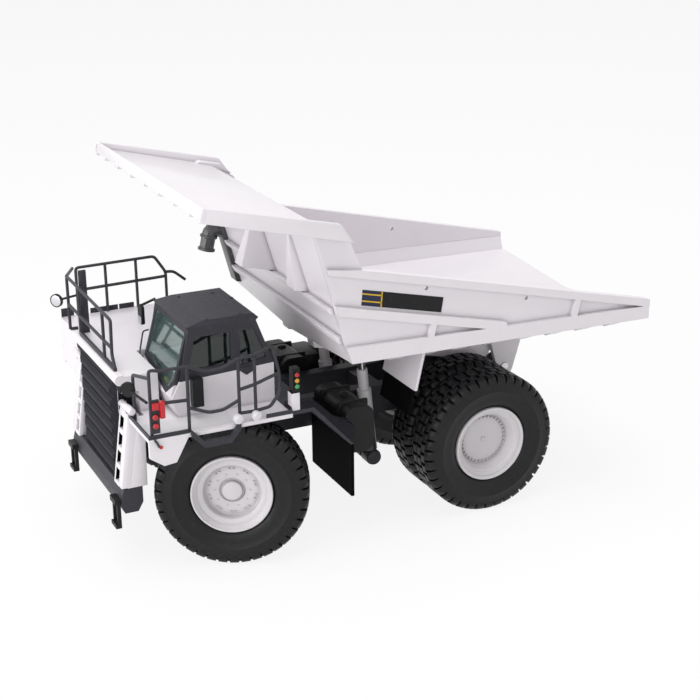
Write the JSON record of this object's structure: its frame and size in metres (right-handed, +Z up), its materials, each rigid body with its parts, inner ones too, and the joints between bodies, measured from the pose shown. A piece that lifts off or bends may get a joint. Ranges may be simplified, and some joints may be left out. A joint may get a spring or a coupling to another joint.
{
  "type": "mining dump truck scale model",
  "caption": "Scale model of a rigid mining dump truck: steered front wheels, twin rear wheels, cab on the left deck, tipping bed with canopy and telescopic hoists.",
  "frame": {"origin": "on the ground under the middle of the truck's box as shown, bed raised", "axes": "+X forward, +Y to the truck's left, +Z up"},
  "size_m": [0.212, 0.12, 0.1386],
  "materials": {
    "white_paint": "gloss",
    "white_plastic": "gloss",
    "dark_grey": "satin",
    "black": "matte",
    "tyre": "matte",
    "flap_rubber": "matte",
    "steel": "bright",
    "glass": "clear",
    "lamp_red": "gloss"
  },
  "bodies": {
    "chassis": {"frame_rails": "dark_grey", "cross_members": "dark_grey", "hoist_trunnion": "dark_grey", "hinge_pin": "steel", "front_axle": "dark_grey", "rear_axle": "dark_grey", "fuel_tank": "black", "hydraulic_tank": "black", "engine_bay": "dark_grey", "hood": "white_paint", "grille": "dark_grey", "bumper": "dark_grey", "ladder_columns": "white_paint", "ladder_steps": "black", "deck_left": "white_paint", "deck_right": "white_paint", "deck_kerbs": "dark_grey", "fender_backs": "dark_grey", "mud_flaps": "flap_rubber", "handrail_left": "dark_grey", "handrail_right": "dark_grey", "handrail_front": "dark_grey", "cab_floor": "dark_grey", "cab_lower_panels": "white_paint", "cab_window_frames": "dark_grey", "cab_roof": "dark_grey", "cab_glass": "glass", "cab_seat": "black", "cab_controls": "black", "mirrors": "black", "lamp_clusters": "lamp_red", "work_lamps": "white_plastic", "load_lamps": "black"},
    "knuckle_left": {"knuckle_left": "steel"},
    "knuckle_right": {"knuckle_right": "steel"},
    "wheel_front_left": {"tyre_front_left": "tyre", "rim_front_left": "white_plastic"},
    "wheel_rear_left": {"tyres_rear_left": "tyre", "rims_rear_left": "white_plastic"},
    "hoist_barrel_left": {"hoist_barrel_left": "white_plastic"},
    "hoist_sleeve_left": {"hoist_sleeve_left": "steel"},
    "hoist_rod_left": {"hoist_rod_left": "steel"},
    "wheel_front_right": {"tyre_front_right": "tyre", "rim_front_right": "white_plastic"},
    "wheel_rear_right": {"tyres_rear_right": "tyre", "rims_rear_right": "white_plastic"},
    "hoist_barrel_right": {"hoist_barrel_right": "white_plastic"},
    "hoist_sleeve_right": {"hoist_sleeve_right": "steel"},
    "hoist_rod_right": {"hoist_rod_right": "steel"},
    "bed": {"bed_floor": "white_paint", "bed_side_left": "white_paint", "bed_side_right": "white_paint", "bed_front_wall": "white_paint", "bed_canopy": "white_paint", "bed_beams": "white_paint", "bed_bolsters": "white_paint", "bed_guards": "white_paint", "bed_flaps": "flap_rubber", "bed_exhaust": "dark_grey"}
  },
  "joints": [
    {"name": "steer_left", "type": "hinge", "parent": "chassis", "child": "knuckle_left", "pos_m": [0.0595, 0.031, 0.0282], "axis": [0, 0, 1], "range_deg": [-3.4, 52.6]},
    {"name": "wheel_front_left_spin", "type": "hinge", "parent": "knuckle_left", "child": "wheel_front_left", "pos_m": [0.0645, 0.04191, 0.0282], "axis": [0.4163, 0.9092, 0], "continuous": true},
    {"name": "wheel_rear_left_spin", "type": "hinge", "parent": "chassis", "child": "wheel_rear_left", "pos_m": [-0.0395, 0.0354, 0.0282], "axis": [0, 1, 0], "continuous": true},
    {"name": "steer_right", "type": "hinge", "parent": "chassis", "child": "knuckle_right", "pos_m": [0.0595, -0.031, 0.0282], "axis": [0, 0, 1], "range_deg": [-3.4, 52.6]},
    {"name": "wheel_front_right_spin", "type": "hinge", "parent": "knuckle_right", "child": "wheel_front_right", "pos_m": [0.05451, -0.04191, 0.0282], "axis": [0.4163, 0.9092, 0], "continuous": true},
    {"name": "wheel_rear_right_spin", "type": "hinge", "parent": "chassis", "child": "wheel_rear_right", "pos_m": [-0.0395, -0.0354, 0.0282], "axis": [0, 1, 0], "continuous": true},
    {"name": "bed_tip", "type": "hinge", "parent": "chassis", "child": "bed", "pos_m": [-0.0655, 0, 0.045], "axis": [0, -1, 0], "range_deg": [-13.15, 34.85]},
    {"name": "hoist_left_swing", "type": "hinge", "parent": "chassis", "child": "hoist_barrel_left", "pos_m": [-0.0035, 0.0183, 0.018], "axis": [0, -1, 0], "range_deg": [-7.24, 19.11]},
    {"name": "hoist_left_sleeve", "type": "slide", "parent": "hoist_barrel_left", "child": "hoist_sleeve_left", "axis": [0.0979, 0, 0.9952], "range_m": [-0.00715, 0.01878]},
    {"name": "hoist_left_rod", "type": "slide", "parent": "hoist_sleeve_left", "child": "hoist_rod_left", "axis": [0.0979, 0, 0.9952], "range_m": [-0.00715, 0.01878]},
    {"name": "hoist_right_swing", "type": "hinge", "parent": "chassis", "child": "hoist_barrel_right", "pos_m": [-0.0035, -0.0183, 0.018], "axis": [0, -1, 0], "range_deg": [-7.24, 19.11]},
    {"name": "hoist_right_sleeve", "type": "slide", "parent": "hoist_barrel_right", "child": "hoist_sleeve_right", "axis": [0.0979, 0, 0.9952], "range_m": [-0.00715, 0.01878]},
    {"name": "hoist_right_rod", "type": "slide", "parent": "hoist_sleeve_right", "child": "hoist_rod_right", "axis": [0.0979, 0, 0.9952], "range_m": [-0.00715, 0.01878]}
  ],
  "couplings": [
    {"joint": "steer_right", "follows": "steer_left", "ratio": 1},
    {"joint": "hoist_left_swing", "follows": "bed_tip", "ratio": 0.547},
    {"joint": "hoist_left_sleeve", "follows": "bed_tip", "m_per_rad": 0.030714},
    {"joint": "hoist_left_rod", "follows": "bed_tip", "m_per_rad": 0.030714},
    {"joint": "hoist_right_swing", "follows": "bed_tip", "ratio": 0.547},
    {"joint": "hoist_right_sleeve", "follows": "bed_tip", "m_per_rad": 0.030714},
    {"joint": "hoist_right_rod", "follows": "bed_tip", "m_per_rad": 0.030714}
  ]
}
